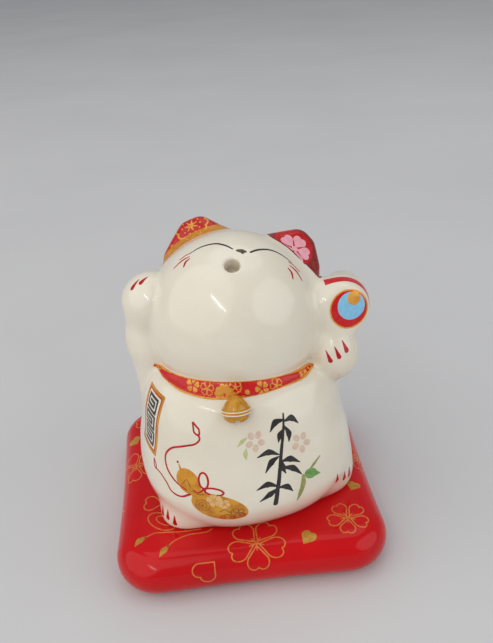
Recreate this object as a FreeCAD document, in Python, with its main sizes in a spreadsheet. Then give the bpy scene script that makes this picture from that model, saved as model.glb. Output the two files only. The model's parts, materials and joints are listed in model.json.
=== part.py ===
"""Beckoning cat figurine: a hollow glazed ceramic cat that stands loose on a glazed ceramic cushion.

Millimetres. The origin is the centre of the cushion's underside, +Z is up and -Y is the front.
"Left" and "right" in the names are the cat's own, so the right arm is on the -X side.
"""

import FreeCAD, Part

import math
import os

import Sketcher
from FreeCAD import Placement, Rotation, Vector

X_AXIS = Vector(1, 0, 0)
Y_AXIS = Vector(0, 1, 0)
Z_AXIS = Vector(0, 0, 1)
BIG = 200.0

DIMENSIONS = [
    # the ceramic cushion
    ("cushion_side", 76.0),
    ("cushion_corner", 13.0),
    ("cushion_height", 13.0),
    ("cushion_edge", 6.0),
    ("cushion_wall", 3.5),
    ("foot_rim", 8.0),
    ("foot_recess", 0.8),
    ("foot_recess_round", 0.7),
    ("vent_radius", 1.25),
    ("rest_gap", 0.05),
    # the cat's torso, seated and turned a little on the cushion
    ("cat_x", 0.9),
    ("cat_y", -3.1),
    ("cat_turn", 10.8),
    ("torso_wall", 3.4),
    ("cat_foot_rim", 4.0),
    ("cat_recess_taper", 1.0),
    ("corner_fullness", 0.96),
    ("base_half_width", 24.3),
    ("base_half_depth", 22.8),
    ("hip_half_width", 30.0),
    ("hip_half_depth", 28.0),
    ("hip_rise", 9.0),
    ("waist_half_width", 29.8),
    ("waist_half_depth", 27.6),
    ("waist_rise", 18.0),
    ("chest_half_width", 25.8),
    ("chest_half_depth", 24.2),
    ("chest_rise", 33.0),
    ("chest_setback", 2.4),
    ("shoulder_half_width", 23.4),
    ("shoulder_half_depth", 21.6),
    ("shoulder_rise", 43.0),
    ("shoulder_setback", 3.9),
    ("neck_half_width", 17.2),
    ("neck_half_depth", 16.4),
    # the head, thrown back, with the mouth socket
    ("head_x", 0.9),
    ("head_y", 1.5),
    ("head_z", 64.4),
    ("head_radius", 23.5),
    ("head_wall", 3.2),
    ("neck_z", 52.2),
    ("neck_tilt", 5.0),
    ("face_turn", -7.3),
    ("face_tilt", 8.2),
    ("face_lean", 23.0),
    ("mouth_lean", 29.3),
    ("mouth_radius", 2.0),
    ("mouth_depth", 3.6),
    ("mouth_wall", 2.4),
    # ears: the width, height and root are the plate's before its corners are rounded
    ("ear_width", 26.97),
    ("ear_height", 15.86),
    ("ear_root", 7.0),
    ("ear_thickness", 6.0),
    ("ear_tip_round", 4.5),
    ("ear_edge_round", 2.3),
    ("ear_side", 12.8),
    ("ear_shift", 1.9),
    ("ear_back", 11.7),
    ("ear_front", 11.9),
    ("ear_wrap", 24.0),
    ("ear_splay", 20.0),
    # collar and bell
    ("collar_half_width", 23.3),
    ("collar_half_depth", 22.4),
    ("collar_height", 4.8),
    ("bell_radius", 3.5),
    ("bell_band", 0.35),
    ("bell_slot", 0.9),
    ("bell_slot_drop", 1.6),
    ("bell_lean", 12.0),
    # arms
    ("end_round", 0.94),
    ("arm_radius", 7.6),
    ("arm_length", 41.0),
    ("arm_lean", -3.0),
    ("paw_radius", 7.3),
    ("forearm_radius", 6.4),
    ("forearm_length", 27.0),
    ("forearm_lean", 8.0),
    ("fist_radius", 6.7),
    # lucky mallet
    ("mallet_length", 13.6),
    ("mallet_end_radius", 5.9),
    ("mallet_middle_radius", 6.8),
    ("mallet_disc_radius", 5.0),
    ("mallet_disc_recess", 0.35),
    ("mallet_edge_round", 0.7),
    ("mallet_dip", 10.0),
    # feet and tail
    ("foot_length", 19.0),
    ("foot_radius", 7.8),
    ("foot_reach", 21.2),
    ("foot_spread", 60.0),
    ("foot_centre_rise", 1.2),
    ("tail_length", 16.0),
    ("tail_radius", 4.8),
    ("tail_lean", 66.0),
]

# Middles of the smaller pieces; the tail's is in the cat's own frame.
BELL_CENTRE = Vector(-2.1, -22.0, 49.8)
MALLET_FRONT_CENTRE = Vector(30.7, -8.4, 68.4)
RIGHT_LIMB_CENTRE = Vector(-20.9, 3.2, 57.6)
RIGHT_PAW_CENTRE = Vector(-21.2, 0.8, 71.2)
LEFT_LIMB_CENTRE = Vector(23.4, 1.6, 52.5)
LEFT_FIST_CENTRE = Vector(27.1, -7.2, 54.7)
TAIL_CENTRE = Vector(5.0, 26.0, 5.6)

# A ball's seam is turned by this much, to where no other piece meets it.
SEAM_TURN = -60.0
FLAT = 1e-4

doc = FreeCAD.newDocument("beckoning_cat")
sheet = doc.addObject("Spreadsheet::Sheet", "Sizes")


def fill_sheet():
    for row, (alias, value) in enumerate(DIMENSIONS, start=1):
        sheet.set(f"A{row}", alias)
        sheet.set(f"B{row}", str(value))
        sheet.setAlias(f"B{row}", alias)
    doc.recompute()


def size(alias):
    return float(getattr(sheet, alias))


def bind(obj, **cells):
    """Bind each property to an expression in which every word is a cell of the sheet."""
    for name, expression in cells.items():
        words = [f"Sizes.{word}" if word[0].isalpha() else word for word in expression.split()]
        obj.setExpression(name, " ".join(words))
    return obj


def turned(axis, degrees):
    return Rotation(axis, degrees)


def cat_placement(local=Vector(0, 0, 0), rotation=Rotation()):
    """A place in the cat's own frame, whose origin is the middle of the cat's base."""
    base_z = size("cushion_height") + size("rest_gap")
    cat = Placement(Vector(size("cat_x"), size("cat_y"), base_z), turned(Z_AXIS, size("cat_turn")))
    return cat.multiply(Placement(local, rotation))


def head_centre():
    return Vector(size("head_x"), size("head_y"), size("head_z"))


def face_rotation():
    """From the face's own axes (X to its side, Y to its crown, Z along its gaze) to the row's."""
    turn = turned(Z_AXIS, size("face_turn"))
    tilt = turned(Y_AXIS, size("face_tilt"))
    lean = turned(X_AXIS, size("face_lean"))
    return turn.multiply(tilt).multiply(lean)


# ---------------------------------------------------------------- building blocks


def sphere(name, place, radius):
    obj = doc.addObject("Part::Sphere", name)
    bind(obj, Radius=radius)
    obj.Placement = place
    return obj


def cylinder(name, place, radius, height):
    obj = doc.addObject("Part::Cylinder", name)
    bind(obj, Radius=radius, Height=height)
    obj.Placement = place
    return obj


def block(name, place, length=BIG, width=BIG, height=BIG):
    """A box centred on its placement in X and Y, standing on its placement in Z."""
    obj = doc.addObject("Part::Box", name)
    obj.Length, obj.Width, obj.Height = length, width, height
    obj.Placement = place.multiply(Placement(Vector(-length / 2, -width / 2, 0), Rotation()))
    return obj


def fuse(name, *shapes):
    obj = doc.addObject("Part::MultiFuse", name)
    obj.Shapes = list(shapes)
    return obj


def cut(name, base, *tools):
    """base less every tool, as a chain of cuts; the last one has the name."""
    for number, tool in enumerate(tools, start=1):
        last = number == len(tools)
        obj = doc.addObject("Part::Cut", name if last else f"{name}_step_{number}")
        obj.Base = base
        obj.Tool = tool
        base = obj
    return base


def common(name, first, second):
    obj = doc.addObject("Part::Common", name)
    obj.Base = first
    obj.Tool = second
    return obj


def body_with_sketch(name):
    """A PartDesign body and an empty sketch on its XY plane."""
    body = doc.addObject("PartDesign::Body", name)
    sketch = body.newObject("Sketcher::SketchObject", f"{name}_sketch")
    plane = next(item for item in body.Origin.OriginFeatures if item.Role == "XY_Plane")
    sketch.AttachmentSupport = [(plane, "")]
    sketch.MapMode = "FlatFace"
    return body, sketch


def pad(body, sketch, length):
    feature = body.newObject("PartDesign::Pad", f"{body.Name}_pad")
    feature.Profile = sketch
    bind(feature, Length=length)
    doc.recompute()
    return feature


def round_edges(body, base, name, radius, chosen):
    """Round the edges of base for which chosen(edge) is true."""
    names = [f"Edge{i}" for i, edge in enumerate(base.Shape.Edges, start=1) if chosen(edge)]
    feature = body.newObject("PartDesign::Fillet", f"{body.Name}_{name}")
    feature.Base = (base, names)
    bind(feature, Radius=radius)
    doc.recompute()
    return feature


def is_upright(edge):
    first, last = edge.Vertexes[0].Point, edge.Vertexes[-1].Point
    return abs(first.z - last.z) > 0.1


def lies_flat(edge):
    return edge.BoundBox.ZLength < FLAT


def draw_rounded_square(sketch, side, corner):
    """A square about the origin with arcs at its corners, held by constraints on side and corner."""
    half = 10.0
    ring = 3.0
    inner = half - ring
    quarter = math.pi / 2
    for number in range(4):
        along = turned(Z_AXIS, 90 * number)
        start = along.multVec(Vector(inner, half, 0))
        end = along.multVec(Vector(-inner, half, 0))
        sketch.addGeometry(Part.LineSegment(start, end), False)
        centre = along.multVec(Vector(-inner, inner, 0))
        circle = Part.Circle(centre, Z_AXIS, ring)
        first = quarter * (number + 1)
        sketch.addGeometry(Part.ArcOfCircle(circle, first, first + quarter), False)
    for number in range(4):
        line, arc = 2 * number, 2 * number + 1
        following = (line + 2) % 8
        sketch.addConstraint(Sketcher.Constraint("Tangent", line, 2, arc, 1))
        sketch.addConstraint(Sketcher.Constraint("Tangent", arc, 2, following, 1))
        sketch.addConstraint(Sketcher.Constraint("Horizontal" if number % 2 == 0 else "Vertical", line))
    for arc in (3, 5, 7):
        sketch.addConstraint(Sketcher.Constraint("Equal", 1, arc))
    sketch.addConstraint(Sketcher.Constraint("Symmetric", 0, 1, 4, 1, -1, 1))
    across = sketch.addConstraint(Sketcher.Constraint("DistanceY", 4, 1, 0, 1, 2 * half))
    wide = sketch.addConstraint(Sketcher.Constraint("DistanceX", 2, 1, 6, 1, 2 * half))
    round_ = sketch.addConstraint(Sketcher.Constraint("Radius", 1, ring))
    bind(sketch, **{f"Constraints[{across}]": side, f"Constraints[{wide}]": side})
    bind(sketch, **{f"Constraints[{round_}]": corner})


def pill(name, place, length, radius):
    """A round bar with its ends rounded off, centred on its placement and lying along its Z."""
    body, sketch = body_with_sketch(name)
    sketch.addGeometry(Part.Circle(Vector(0, 0, 0), Z_AXIS, size(radius)), False)
    sketch.addConstraint(Sketcher.Constraint("Coincident", 0, 3, -1, 1))
    wide = sketch.addConstraint(Sketcher.Constraint("Radius", 0, size(radius)))
    bind(sketch, **{f"Constraints[{wide}]": radius})
    bar = pad(body, sketch, length)
    round_edges(body, bar, "ends", f"{radius} * end_round", lies_flat)
    body.Placement = place.multiply(Placement(Vector(0, 0, -size(length) / 2), Rotation()))
    return body


# ---------------------------------------------------------------- the cushion


def pillow(name, side, corner, height, edge):
    """A rounded square slab with round edges, standing on z = 0."""
    body, sketch = body_with_sketch(name)
    draw_rounded_square(sketch, side, corner)
    slab = pad(body, sketch, height)
    round_edges(body, slab, "edges", edge, lies_flat)
    return body


def make_cushion():
    outside = pillow("cushion_outside", "cushion_side", "cushion_corner", "cushion_height", "cushion_edge")
    hollow = pillow(
        "cushion_hollow",
        "cushion_side - 2 * cushion_wall",
        "cushion_corner - cushion_wall",
        "cushion_height - 2 * cushion_wall",
        "cushion_edge - cushion_wall",
    )
    hollow.Placement.Base.z = size("cushion_wall")
    recess = pillow(
        "cushion_recess",
        "cushion_side - 2 * cushion_edge - 2 * foot_rim",
        "cushion_corner - cushion_edge",
        "2 * foot_recess",
        "foot_recess_round",
    )
    recess.Placement.Base.z = -size("foot_recess")
    vent = cylinder("cushion_vent", Placement(), "vent_radius", "2 * cushion_wall")
    return cut("cushion_shell", outside, hollow, recess, vent)


# ---------------------------------------------------------------- the torso


def oval(name, rise, setback, half_width, half_depth):
    """A level oval of the torso in the cat's frame, with fuller corners than an ellipse has.

    It is four conic arcs; the weight of their corner poles is 0.71 for an ellipse and 1 for
    parabolas, which bulge further out towards the corners.
    """
    ring = [(0, -1), (1, -1), (1, 0), (1, 1), (0, 1), (-1, 1), (-1, 0), (-1, -1), (0, -1)]
    poles = [Vector(x * half_width, y * half_depth, 0) for x, y in ring]
    weights = [1.0, size("corner_fullness")] * 4 + [1.0]
    curve = Part.BSplineCurve()
    curve.buildFromPolesMultsKnots(poles, [3, 2, 2, 2, 3], [0, 1, 2, 3, 4], False, 2, weights)
    obj = doc.addObject("Part::Feature", name)
    obj.Shape = Part.Wire(curve.toShape())
    obj.Placement = Placement(Vector(0, setback, rise), Rotation())
    return obj


def loft(name, sections):
    obj = doc.addObject("Part::Loft", name)
    obj.Sections = sections
    obj.Solid = True
    obj.Ruled = False
    obj.Placement = cat_placement()
    return obj


def torso_ovals(prefix, inset, first_rise, top):
    """The torso's ovals from the base up, drawn in by inset; top names the cells of the last one."""
    levels = [
        ("base", first_rise, 0.0),
        ("hip", size("hip_rise"), 0.0),
        ("waist", size("waist_rise"), 0.0),
        ("chest", size("chest_rise"), size("chest_setback")),
    ]
    ovals = []
    for level, rise, setback in levels:
        radii = (size(f"{level}_half_width") - inset, size(f"{level}_half_depth") - inset)
        ovals.append(oval(f"{prefix}_{level}", rise, setback, *radii))
    radii = (size(f"{top}_half_width"), size(f"{top}_half_depth"))
    ovals.append(oval(f"{prefix}_{top}", size("shoulder_rise"), size("shoulder_setback"), *radii))
    return ovals


def make_torso_outside():
    return loft("torso_outside", torso_ovals("outside", 0.0, 0.0, "shoulder"))


def make_torso(outside, above_neck):
    wall = size("torso_wall")
    hollow = loft("torso_hollow", torso_ovals("hollow", wall, wall, "neck"))
    recess = doc.addObject("Part::Cone", "torso_recess")
    bind(recess, Radius1="base_half_depth - cat_foot_rim")
    bind(recess, Radius2="base_half_depth - cat_foot_rim - cat_recess_taper")
    bind(recess, Height="2 * foot_recess")
    recess.Placement = cat_placement(Vector(0, 0, -size("foot_recess")))
    vent_place = cat_placement(Vector(0, 0, -size("foot_recess")))
    vent = cylinder("torso_vent", vent_place, "vent_radius", "2 * torso_wall + foot_recess")
    return cut("torso_shell", outside, hollow, recess, vent, above_neck)


# ---------------------------------------------------------------- the head


def neck_placement():
    """The plane where head and torso meet: it dips towards the cat's left."""
    point = Vector(size("head_x"), size("head_y"), size("neck_z"))
    return Placement(point, turned(Y_AXIS, size("neck_tilt")))


def mouth_placement(depth):
    """On the mouth's axis, depth below the head's surface, with Z pointing out of the mouth."""
    lean = turned(X_AXIS, size("mouth_lean"))
    out = lean.multVec(Z_AXIS)
    return Placement(head_centre() + out * (size("head_radius") - depth), lean)


def head_ball(name, radius="head_radius"):
    return sphere(name, Placement(head_centre(), turned(Z_AXIS, SEAM_TURN)), radius)


def make_head(outside, below_neck):
    hollow = head_ball("head_hollow", "head_radius - head_wall")
    skin = cut("head_skin", outside, hollow)
    cup_depth = size("mouth_depth") + size("mouth_wall")
    cup_rod = cylinder(
        "mouth_cup_rod",
        mouth_placement(cup_depth),
        "mouth_radius + mouth_wall",
        "mouth_depth + 2 * mouth_wall",
    )
    cup = common("mouth_cup", head_ball("head_limit"), cup_rod)
    socket = cylinder(
        "mouth_socket", mouth_placement(size("mouth_depth")), "mouth_radius", "mouth_depth + 2 * mouth_wall"
    )
    return cut("head_shell", fuse("head_with_cup", skin, cup), socket, below_neck)


def make_ear(name, side, head):
    """A wide, round-tipped ear; side is -1 for the cat's right and 1 for its left."""
    body, sketch = body_with_sketch(f"{name}_plate")
    half = size("ear_width") / 2
    corners = [Vector(-half, -1, 0), Vector(half, -1, 0), Vector(0, 1, 0)]
    for start, end in zip(corners, corners[1:] + corners[:1]):
        sketch.addGeometry(Part.LineSegment(start, end), False)
    for line in range(3):
        sketch.addConstraint(Sketcher.Constraint("Coincident", line, 2, (line + 1) % 3, 1))
    sketch.addConstraint(Sketcher.Constraint("Symmetric", 0, 1, 0, 2, -2))
    sketch.addConstraint(Sketcher.Constraint("PointOnObject", 1, 2, -2))
    wide = sketch.addConstraint(Sketcher.Constraint("DistanceX", 0, 1, 0, 2, 2 * half))
    low = sketch.addConstraint(Sketcher.Constraint("DistanceY", 0, 1, -1, 1, 1))
    high = sketch.addConstraint(Sketcher.Constraint("DistanceY", -1, 1, 1, 2, 1))
    bind(sketch, **{f"Constraints[{wide}]": "ear_width"})
    bind(sketch, **{f"Constraints[{low}]": "ear_root"})
    bind(sketch, **{f"Constraints[{high}]": "ear_height"})
    plate = pad(body, sketch, "ear_thickness")
    plate = round_edges(body, plate, "corners", "ear_tip_round", is_upright)
    round_edges(body, plate, "edges", "ear_edge_round", lies_flat)
    wrap = turned(Y_AXIS, side * size("ear_wrap"))
    splay = turned(Z_AXIS, -side * size("ear_splay"))
    rotation = face_rotation().multiply(wrap).multiply(splay)
    root = Vector(side * size("ear_side") + size("ear_shift"), size("ear_back"), size("ear_front"))
    middle = Vector(0, 0, -size("ear_thickness") / 2)
    body.Placement = Placement(head_centre() + face_rotation().multVec(root), rotation).multiply(
        Placement(middle, Rotation())
    )
    return cut(name, body, head)


# ---------------------------------------------------------------- collar and bell


def make_collar(head):
    body, sketch = body_with_sketch("collar_band")
    band = Part.Ellipse(Vector(0, 0, 0), size("collar_half_width"), size("collar_half_depth"))
    sketch.addGeometry(band, False)
    sketch.exposeInternalGeometry(0)
    sketch.addConstraint(Sketcher.Constraint("Coincident", 0, 3, -1, 1))
    sketch.addConstraint(Sketcher.Constraint("Horizontal", 1))
    wide = sketch.addConstraint(Sketcher.Constraint("Distance", 1, 2 * size("collar_half_width")))
    deep = sketch.addConstraint(Sketcher.Constraint("Distance", 2, 2 * size("collar_half_depth")))
    bind(sketch, **{f"Constraints[{wide}]": "2 * collar_half_width"})
    bind(sketch, **{f"Constraints[{deep}]": "2 * collar_half_depth"})
    pad(body, sketch, "collar_height")
    body.Placement = neck_placement()
    return cut("collar", body, head)


def make_bell(torso, collar):
    """A crotal bell in relief: a ball with a raised band at its middle and a slot below."""
    lean = Placement(BELL_CENTRE, turned(X_AXIS, size("bell_lean")))
    ball = sphere("bell_ball", lean, "bell_radius")
    band = doc.addObject("Part::Torus", "bell_waist")
    bind(band, Radius1="bell_radius", Radius2="bell_band")
    band.Placement = lean
    reach = 2 * size("bell_radius")
    slot_place = Placement(BELL_CENTRE - Vector(0, 0, reach), Rotation())
    slot = block("bell_slot", slot_place, size("bell_slot"), 2 * reach, reach - size("bell_slot_drop"))
    return cut("bell", fuse("bell_solid", ball, band), slot, torso, collar)


# ---------------------------------------------------------------- arms, mallet, feet, tail


def make_mallet(head):
    """A barrel on its side: its front end carries a sunk round panel."""
    body, sketch = body_with_sketch("mallet_barrel")
    length, end, middle = size("mallet_length"), size("mallet_end_radius"), size("mallet_middle_radius")
    front_low, front_high = Vector(0, 0, 0), Vector(0, end, 0)
    back_high, back_low = Vector(length, end, 0), Vector(length, 0, 0)
    crown = Vector(length / 2, middle, 0)
    sketch.addGeometry(Part.LineSegment(front_low, front_high), False)
    sketch.addGeometry(Part.Arc(front_high, crown, back_high), False)
    sketch.addGeometry(Part.LineSegment(back_high, back_low), False)
    sketch.addGeometry(Part.LineSegment(back_low, front_low), False)
    sketch.addConstraint(Sketcher.Constraint("Coincident", 0, 1, -1, 1))
    sketch.addConstraint(Sketcher.Constraint("Coincident", 2, 2, 3, 1))
    sketch.addConstraint(Sketcher.Constraint("Coincident", 3, 2, 0, 1))
    sketch.addConstraint(Sketcher.Constraint("Vertical", 0))
    sketch.addConstraint(Sketcher.Constraint("Vertical", 2))
    sketch.addConstraint(Sketcher.Constraint("Horizontal", 3))
    sketch.addConstraint(Sketcher.Constraint("Coincident", 0, 2, 1, 2))
    sketch.addConstraint(Sketcher.Constraint("Coincident", 2, 1, 1, 1))
    high = sketch.addConstraint(Sketcher.Constraint("DistanceY", 0, 1, 0, 2, end))
    tall = sketch.addConstraint(Sketcher.Constraint("DistanceY", 2, 2, 2, 1, end))
    long_ = sketch.addConstraint(Sketcher.Constraint("DistanceX", 3, 2, 3, 1, length))
    swell = middle - end
    bow = sketch.addConstraint(Sketcher.Constraint("Radius", 1, (length**2 / 4 + swell**2) / (2 * swell)))
    bind(sketch, **{f"Constraints[{high}]": "mallet_end_radius", f"Constraints[{tall}]": "mallet_end_radius"})
    bind(sketch, **{f"Constraints[{long_}]": "mallet_length"})
    rise = "( mallet_middle_radius - mallet_end_radius )"
    bind(sketch, **{f"Constraints[{bow}]": f"( mallet_length ^ 2 / 4 + {rise} ^ 2 ) / ( 2 * {rise} )"})
    turn = body.newObject("PartDesign::Revolution", "mallet_turn")
    turn.Profile = sketch
    turn.ReferenceAxis = (sketch, ["H_Axis"])
    turn.Angle = 360
    doc.recompute()
    round_edges(body, turn, "ends", "mallet_edge_round", lambda edge: edge.BoundBox.XLength < FLAT)
    rotation = turned(Z_AXIS, 90.0).multiply(turned(Y_AXIS, size("mallet_dip")))
    body.Placement = Placement(MALLET_FRONT_CENTRE, rotation)
    panel_place = Placement(MALLET_FRONT_CENTRE, rotation.multiply(turned(Y_AXIS, 90.0)))
    panel = cylinder("mallet_panel", panel_place, "mallet_disc_radius", "mallet_disc_recess")
    return cut("lucky_mallet", body, panel, head)


def make_right_arm(*neighbours):
    """The beckoning arm: it stands up beside the head, and its paw is folded forward."""
    limb_place = Placement(RIGHT_LIMB_CENTRE, turned(Y_AXIS, size("arm_lean")))
    limb = pill("right_limb", limb_place, "arm_length", "arm_radius")
    paw = sphere("right_paw", Placement(RIGHT_PAW_CENTRE, Rotation()), "paw_radius")
    return cut("right_arm", fuse("right_arm_solid", limb, paw), *neighbours)


def make_left_arm(*neighbours):
    """The arm that holds the mallet up: a forearm with a round fist under the barrel."""
    limb_place = Placement(LEFT_LIMB_CENTRE, turned(X_AXIS, size("forearm_lean")))
    limb = pill("left_limb", limb_place, "forearm_length", "forearm_radius")
    fist = sphere("left_fist", Placement(LEFT_FIST_CENTRE, Rotation()), "fist_radius")
    return cut("left_arm", fuse("left_arm_solid", limb, fist), *neighbours)


def make_foot(name, side, torso, below_base):
    """A foot that bulges out of the torso's front corner."""
    outward = turned(Z_AXIS, side * size("foot_spread"))
    centre = outward.multVec(Vector(0, -size("foot_reach"), size("foot_centre_rise")))
    place = cat_placement(centre, outward.multiply(turned(X_AXIS, 90.0)))
    bulge = pill(f"{name}_bulge", place, "foot_length", "foot_radius")
    return cut(name, bulge, torso, below_base)


def make_tail(torso, below_base):
    """A short round tail that lies against the torso's back."""
    place = cat_placement(TAIL_CENTRE, turned(Y_AXIS, size("tail_lean")))
    bulge = pill("tail_bulge", place, "tail_length", "tail_radius")
    return cut("tail", bulge, torso, below_base)


# ---------------------------------------------------------------- assembly


def build():
    fill_sheet()
    above_neck = block("above_neck", neck_placement())
    below_neck = block("below_neck", neck_placement().multiply(Placement(Vector(0, 0, -BIG), Rotation())))
    below_base = block("below_base", cat_placement(Vector(0, 0, -BIG)))
    head_outside = head_ball("head_outside")
    torso_outside = make_torso_outside()
    collar = make_collar(head_outside)
    mallet = make_mallet(head_outside)
    nodes = [
        make_cushion(),
        make_torso(torso_outside, above_neck),
        make_head(head_outside, below_neck),
        make_ear("right_ear", -1, head_outside),
        make_ear("left_ear", 1, head_outside),
        collar,
        make_bell(torso_outside, collar),
        mallet,
        make_right_arm(torso_outside, head_outside, collar),
        make_left_arm(torso_outside, head_outside, collar, mallet),
        make_foot("right_foot", -1, torso_outside, below_base),
        make_foot("left_foot", 1, torso_outside, below_base),
        make_tail(torso_outside, below_base),
    ]
    doc.recompute()
    return nodes


def check(nodes):
    """Stop before anything is written if a feature failed or a sub-part isn't one sound solid."""
    failed = [obj.Name for obj in doc.Objects if {"Invalid", "Error"} & set(obj.State)]
    if failed:
        raise RuntimeError(f"features failed: {failed}")
    for node in nodes:
        shape = node.Shape
        if shape.isNull() or not shape.isValid():
            raise RuntimeError(f"{node.Name} has no valid shape")
        if len(shape.Solids) != 1:
            raise RuntimeError(f"{node.Name} has {len(shape.Solids)} solids")


def write(nodes):
    os.makedirs("parts", exist_ok=True)
    for node in nodes:
        node.Label = node.Name
        node.Shape.exportStep(f"parts/{node.Label}.step")
        box = node.Shape.optimalBoundingBox(False)
        spans = [(box.XMin, box.XMax), (box.YMin, box.YMax), (box.ZMin, box.ZMax)]
        text = "  ".join(f"{low:7.2f} {high:7.2f}" for low, high in spans)
        print(f"{node.Label:16s} {node.Shape.Volume:9.1f} mm3   {text}")


parts = build()
check(parts)
write(parts)
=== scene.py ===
import json
import math

import bpy
import numpy as np
from mathutils import Matrix, Vector

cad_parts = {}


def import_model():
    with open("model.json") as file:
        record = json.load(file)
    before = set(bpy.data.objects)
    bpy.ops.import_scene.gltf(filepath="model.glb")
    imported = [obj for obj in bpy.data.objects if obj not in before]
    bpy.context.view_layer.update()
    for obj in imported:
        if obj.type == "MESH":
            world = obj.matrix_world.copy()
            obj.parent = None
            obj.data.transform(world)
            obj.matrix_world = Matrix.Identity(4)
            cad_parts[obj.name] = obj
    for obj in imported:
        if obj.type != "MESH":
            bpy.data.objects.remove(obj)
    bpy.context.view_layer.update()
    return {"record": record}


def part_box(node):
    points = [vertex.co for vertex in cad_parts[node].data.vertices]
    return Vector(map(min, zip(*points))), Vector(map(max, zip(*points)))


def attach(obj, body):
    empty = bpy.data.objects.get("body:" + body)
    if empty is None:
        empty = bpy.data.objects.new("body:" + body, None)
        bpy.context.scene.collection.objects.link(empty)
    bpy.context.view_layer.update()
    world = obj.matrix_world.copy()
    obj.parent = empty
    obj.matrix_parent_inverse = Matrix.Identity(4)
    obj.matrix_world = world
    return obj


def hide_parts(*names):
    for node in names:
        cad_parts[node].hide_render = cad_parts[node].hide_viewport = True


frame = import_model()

# Shapes are worked out in millimetres, in the row frame, and written to the meshes in metres.
MM = 0.001
CAT = "cat"
CUSHION = "cushion"


# ---------------- places taken from the CAD


class Box:
    """A CAD node's box at rest, in millimetres."""

    def __init__(self, node):
        low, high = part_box(node)
        self.low = np.array(low) / MM
        self.high = np.array(high) / MM
        self.mid = (self.low + self.high) / 2
        self.size = self.high - self.low


def unit(*v):
    v = np.array(v, float)
    return v / np.linalg.norm(v)


cushion_box = Box("cushion_shell")
torso_box = Box("torso_shell")
head_box = Box("head_shell")
collar_box = Box("collar")
bell_box = Box("bell")
mallet_box = Box("lucky_mallet")
right_arm_box = Box("right_arm")
left_arm_box = Box("left_arm")
right_foot_box = Box("right_foot")
left_foot_box = Box("left_foot")
tail_box = Box("tail")

BODY_TURN = math.radians(10.8)
BASE = torso_box.low[2]
HEAD_RADIUS = head_box.size[0] / 2
HEAD = np.array([head_box.mid[0], head_box.mid[1], head_box.high[2] - HEAD_RADIUS])

# The face looks up and forward: right is the cat's left, up is towards the top of its head.
FACE_RIGHT = unit(0.980, -0.125, -0.143)
FACE_OUT = unit(0.080, -0.404, 0.911)
FACE_OUT = unit(*(FACE_OUT - FACE_RIGHT * (FACE_OUT @ FACE_RIGHT)))
FACE_UP = np.cross(FACE_OUT, FACE_RIGHT)

# The mouth's socket, as the record's mount says.
mouth = next(m for m in frame["record"]["mounts"] if m["name"] == "mouth_socket")
MOUTH = np.array(mouth["pos_m"]) / MM
MOUTH_AXIS = unit(*mouth["axis"])
MOUTH_RADIUS = mouth["dims"]["r_mm"]
MOUTH_DEPTH = 3.6


# ---------------- solid fields


def smin(a, b, k):
    """The lesser of two distances, blended over k where they are close."""
    h = np.maximum(k - np.abs(a - b), 0) / k
    return np.minimum(a, b) - h * h * k / 4


def smax(a, b, k):
    return -smin(-a, -b, k)


def curve_through(at, knots):
    """A smooth curve through (place, value) knots, level at both ends."""
    x, y = np.array(knots, float).T
    slope = np.gradient(y, x)
    slope[0] = (y[1] - y[0]) / (x[1] - x[0])
    i = np.clip(np.searchsorted(x, at) - 1, 0, len(x) - 2)
    gap = x[i + 1] - x[i]
    t = np.clip((at - x[i]) / gap, 0, 1)
    s = 1 - t
    return (
        y[i] * s * s * (1 + 2 * t)
        + y[i + 1] * t * t * (1 + 2 * s)
        + gap * (slope[i] * s * s * t - slope[i + 1] * t * t * s)
    )


def ellipsoid(p, centre, radii):
    q = p - np.array(centre)
    radii = np.array(radii, float)
    near = np.linalg.norm(q / radii, axis=1)
    far = np.linalg.norm(q / radii**2, axis=1)
    return near * (near - 1) / np.maximum(far, 1e-9)


def limb(p, start, end, start_radius, end_radius):
    """A round bar from start to end whose radius changes evenly."""
    start, end = np.array(start, float), np.array(end, float)
    along = end - start
    t = np.clip((p - start) @ along / (along @ along), 0, 1)
    off = np.linalg.norm(p - start - t[:, None] * along, axis=1)
    return off - start_radius - t * (end_radius - start_radius)


def rounded(a, b, corner):
    """Distance to a rounded corner between two sides, which are at a = corner and b = corner."""
    return np.hypot(np.maximum(a, 0), np.maximum(b, 0)) + np.minimum(np.maximum(a, b), 0) - corner


def turned_about(p, x, y, angle):
    """p's level coordinates in a frame at x, y that is turned by angle."""
    dx, dy = p[:, 0] - x, p[:, 1] - y
    c, s = math.cos(angle), math.sin(angle)
    return dx * c + dy * s, dy * c - dx * s


# Height above the cushion, and the torso's half width there.
TORSO_WIDTH = [(0, 24.3), (3, 26.9), (9, 29.9), (17, 29.8), (25, 28.1), (33, 26.9), (39, 24.6), (44, 21.5)]
# Height above the cushion, and how far back the torso's middle has moved.
TORSO_LEAN = [(0, 0.0), (17, 0.0), (25, 0.7), (33, 1.8), (44, 3.4)]
TORSO_FULLNESS = 2.38
TORSO_DEPTH = 0.93
TORSO_SETBACK = 0.1
SHOULDER_DROP = 0.4
SHOULDER_ROUND = 3.0


def torso(p):
    rise = p[:, 2] - BASE
    half_width = curve_through(rise, TORSO_WIDTH)
    across, back = turned_about(p, torso_box.mid[0], torso_box.mid[1] + TORSO_SETBACK, BODY_TURN)
    back = back - curve_through(rise, TORSO_LEAN)
    half_depth = half_width * TORSO_DEPTH
    ring = np.abs(across / half_width) ** TORSO_FULLNESS + np.abs(back / half_depth) ** TORSO_FULLNESS
    side = (ring ** (1 / TORSO_FULLNESS) - 1) * half_depth
    height, round_neck = neck_coordinates(p)
    return smax(side, height - collar_span(round_neck)[0] - SHOULDER_DROP, SHOULDER_ROUND)


HEAD_RADII = (HEAD_RADIUS + 0.3, HEAD_RADIUS - 0.5, HEAD_RADIUS)


def head(p):
    return ellipsoid(p, HEAD, HEAD_RADII)


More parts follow.
